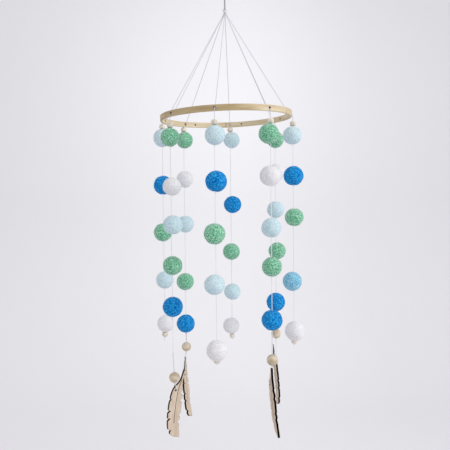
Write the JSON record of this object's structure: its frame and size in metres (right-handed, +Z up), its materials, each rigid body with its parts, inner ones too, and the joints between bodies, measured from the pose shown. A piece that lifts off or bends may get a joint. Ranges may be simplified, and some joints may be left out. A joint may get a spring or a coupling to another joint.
{
  "type": "crib mobile",
  "caption": "Hanging crib mobile: a bamboo hoop slung on threads from a cord loop, with strings of felt balls, wooden beads and laser-cut plywood feathers below it.",
  "frame": {"origin": "where a hook bears on the inside of the hanging loop, at its top", "axes": "+Z up, +X to the right seen from the front, +Y away from the viewer"},
  "size_m": [0.2405, 0.2394, 0.7547],
  "materials": {
    "cord": "twisted cotton cord",
    "thread": "waxed cotton thread",
    "bamboo": "satin bamboo",
    "wood_beads": "bare beech",
    "plywood": "laser-cut plywood with burnt edges",
    "felt_blue": "needle felt, mid blue and pale blue balls",
    "felt_green": "needle felt",
    "felt_white": "needle felt"
  },
  "bodies": {
    "hanger": {"main_cord": "cord"},
    "knot": {"gather_knot": "cord"},
    "hoop": {"hoop": "bamboo", "suspension_cords": "thread"},
    "string_a_bead": {"string_a_top_bead": "wood_beads"},
    "string_a": {"string_a_cord": "thread", "string_a_blue_balls": "felt_blue", "string_a_green_ball": "felt_green", "string_a_white_ball": "felt_white", "string_a_end_bead": "wood_beads"},
    "string_b_bead": {"string_b_top_bead": "wood_beads"},
    "string_b": {"string_b_cord": "thread", "string_b_green_balls": "felt_green", "string_b_white_ball": "felt_white", "string_b_blue_balls": "felt_blue"},
    "string_b_feather": {"string_b_tie": "thread", "string_b_wood_ball": "wood_beads", "string_b_feather": "plywood"},
    "string_c_bead": {"string_c_top_bead": "wood_beads"},
    "string_c": {"string_c_cord": "thread", "string_c_green_balls": "felt_green", "string_c_white_ball": "felt_white", "string_c_blue_balls": "felt_blue"},
    "string_c_feather": {"string_c_tie": "thread", "string_c_wood_ball": "wood_beads", "string_c_feather": "plywood"},
    "string_d_bead": {"string_d_top_bead": "wood_beads"},
    "string_d": {"string_d_cord": "thread", "string_d_blue_balls": "felt_blue", "string_d_green_ball": "felt_green", "string_d_white_ball": "felt_white", "string_d_end_bead": "wood_beads"},
    "string_e_bead": {"string_e_top_bead": "wood_beads"},
    "string_e": {"string_e_cord": "thread", "string_e_blue_balls": "felt_blue", "string_e_green_ball": "felt_green", "string_e_white_ball": "felt_white", "string_e_end_bead": "wood_beads"},
    "string_f_bead": {"string_f_top_bead": "wood_beads"},
    "string_f": {"string_f_cord": "thread", "string_f_green_balls": "felt_green", "string_f_white_ball": "felt_white", "string_f_blue_balls": "felt_blue"},
    "string_f_feather": {"string_f_tie": "thread", "string_f_wood_ball": "wood_beads", "string_f_feather": "plywood"},
    "string_g_bead": {"string_g_top_bead": "wood_beads"},
    "string_g": {"string_g_cord": "thread", "string_g_green_balls": "felt_green", "string_g_white_ball": "felt_white", "string_g_blue_balls": "felt_blue"},
    "string_g_feather": {"string_g_tie": "thread", "string_g_wood_ball": "wood_beads", "string_g_feather": "plywood"},
    "string_h_bead": {"string_h_top_bead": "wood_beads"},
    "string_h": {"string_h_cord": "thread", "string_h_blue_balls": "felt_blue", "string_h_green_ball": "felt_green", "string_h_white_ball": "felt_white", "string_h_end_bead": "wood_beads"}
  },
  "joints": [
    {"name": "mobile_spin", "type": "hinge", "parent": "hanger", "child": "knot", "pos_m": [0, 0, -0.075], "axis": [0, 0, 1], "continuous": true},
    {"name": "hoop_tip", "type": "hinge", "parent": "knot", "child": "hoop", "pos_m": [0, 0, -0.075], "axis": [1, 0, 0], "range_deg": [-12, 12]},
    {"name": "string_a_swing_out", "type": "hinge", "parent": "hoop", "child": "string_a_bead", "pos_m": [-0.10385, 0.01731, -0.25095], "axis": [0.1633, 0.9866, 0], "range_deg": [-5, 20]},
    {"name": "string_a_swing_side", "type": "hinge", "parent": "string_a_bead", "child": "string_a", "pos_m": [-0.10385, 0.01731, -0.25095], "axis": [-0.9866, 0.1633, 0], "range_deg": [-5, 5]},
    {"name": "string_b_swing_out", "type": "hinge", "parent": "hoop", "child": "string_b_bead", "pos_m": [-0.08204, -0.06579, -0.26293], "axis": [-0.6266, 0.7793, 0], "range_deg": [-5, 20]},
    {"name": "string_b_swing_side", "type": "hinge", "parent": "string_b_bead", "child": "string_b", "pos_m": [-0.08204, -0.06579, -0.26293], "axis": [-0.7793, -0.6266, 0], "range_deg": [-5, 5]},
    {"name": "string_b_feather_twist", "type": "hinge", "parent": "string_b", "child": "string_b_feather", "pos_m": [-0.08204, -0.06579, -0.60148], "axis": [0, 0, 1], "continuous": true},
    {"name": "string_c_swing_out", "type": "hinge", "parent": "hoop", "child": "string_c_bead", "pos_m": [-0.07365, 0.07523, -0.24687], "axis": [0.7145, 0.6997, 0], "range_deg": [-5, 20]},
    {"name": "string_c_swing_side", "type": "hinge", "parent": "string_c_bead", "child": "string_c", "pos_m": [-0.07365, 0.07523, -0.24687], "axis": [-0.6997, 0.7145, 0], "range_deg": [-5, 5]},
    {"name": "string_c_feather_twist", "type": "hinge", "parent": "string_c", "child": "string_c_feather", "pos_m": [-0.07365, 0.07523, -0.60512], "axis": [0, 0, 1], "continuous": true},
    {"name": "string_d_swing_out", "type": "hinge", "parent": "hoop", "child": "string_d_bead", "pos_m": [-0.01647, -0.10385, -0.26589], "axis": [-0.9877, 0.1564, 0], "range_deg": [-5, 20]},
    {"name": "string_d_swing_side", "type": "hinge", "parent": "string_d_bead", "child": "string_d", "pos_m": [-0.01647, -0.10385, -0.26589], "axis": [-0.1564, -0.9877, 0], "range_deg": [-5, 5]},
    {"name": "string_e_swing_out", "type": "hinge", "parent": "hoop", "child": "string_e_bead", "pos_m": [0.00771, 0.10487, -0.24329], "axis": [0.9973, -0.0732, 0], "range_deg": [-5, 20]},
    {"name": "string_e_swing_side", "type": "hinge", "parent": "string_e_bead", "child": "string_e", "pos_m": [0.00771, 0.10487, -0.24329], "axis": [0.0732, 0.9973, 0], "range_deg": [-5, 5]},
    {"name": "string_f_swing_out", "type": "hinge", "parent": "hoop", "child": "string_f_bead", "pos_m": [0.06291, -0.0844, -0.26133], "axis": [-0.8018, -0.5976, 0], "range_deg": [-5, 20]},
    {"name": "string_f_swing_side", "type": "hinge", "parent": "string_f_bead", "child": "string_f", "pos_m": [0.06291, -0.0844, -0.26133], "axis": [0.5976, -0.8018, 0], "range_deg": [-5, 5]},
    {"name": "string_f_feather_twist", "type": "hinge", "parent": "string_f", "child": "string_f_feather", "pos_m": [0.06291, -0.0844, -0.57163], "axis": [0, 0, 1], "continuous": true},
    {"name": "string_g_swing_out", "type": "hinge", "parent": "hoop", "child": "string_g_bead", "pos_m": [0.08418, 0.06303, -0.24955], "axis": [0.6004, -0.7997, 0], "range_deg": [-5, 20]},
    {"name": "string_g_swing_side", "type": "hinge", "parent": "string_g_bead", "child": "string_g", "pos_m": [0.08418, 0.06303, -0.24955], "axis": [0.7997, 0.6004, 0], "range_deg": [-5, 5]},
    {"name": "string_g_feather_twist", "type": "hinge", "parent": "string_g", "child": "string_g_feather", "pos_m": [0.08418, 0.06303, -0.5696], "axis": [0, 0, 1], "continuous": true},
    {"name": "string_h_swing_out", "type": "hinge", "parent": "hoop", "child": "string_h_bead", "pos_m": [0.10443, -0.01332, -0.25364], "axis": [-0.1253, -0.9921, 0], "range_deg": [-5, 20]},
    {"name": "string_h_swing_side", "type": "hinge", "parent": "string_h_bead", "child": "string_h", "pos_m": [0.10443, -0.01332, -0.25364], "axis": [0.9921, -0.1253, 0], "range_deg": [-5, 5]}
  ]
}
